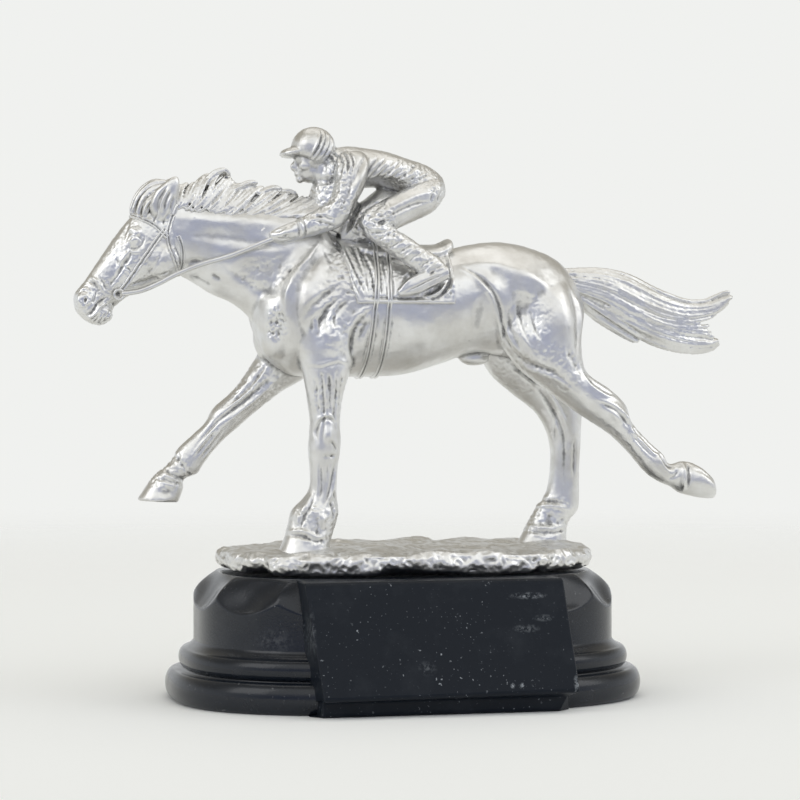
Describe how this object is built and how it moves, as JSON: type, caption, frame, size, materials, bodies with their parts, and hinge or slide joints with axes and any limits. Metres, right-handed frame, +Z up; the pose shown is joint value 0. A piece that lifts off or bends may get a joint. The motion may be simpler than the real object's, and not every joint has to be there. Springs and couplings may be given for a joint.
{
  "type": "equestrian trophy",
  "caption": "Silver cast racehorse and crouching jockey striding over rocky ground, on an oval black moulded plinth with a bare sloped front panel.",
  "frame": {"origin": "on the plinth's flat underside, in the middle of its drum", "axes": "+Z up, the horse heads to -X, its left side and the plinth's sloped panel face -Y"},
  "size_m": [0.1801, 0.0939, 0.1498],
  "materials": {
    "silver_cast": "bright silver metallic plating on cast resin, semi-gloss, darker in the recesses",
    "black_lacquer": "glossy black lacquer, dusty and lightly scratched on the front panel"
  },
  "bodies": {
    "root": {"horse_and_jockey": "silver_cast", "plinth": "black_lacquer"}
  },
  "joints": []
}
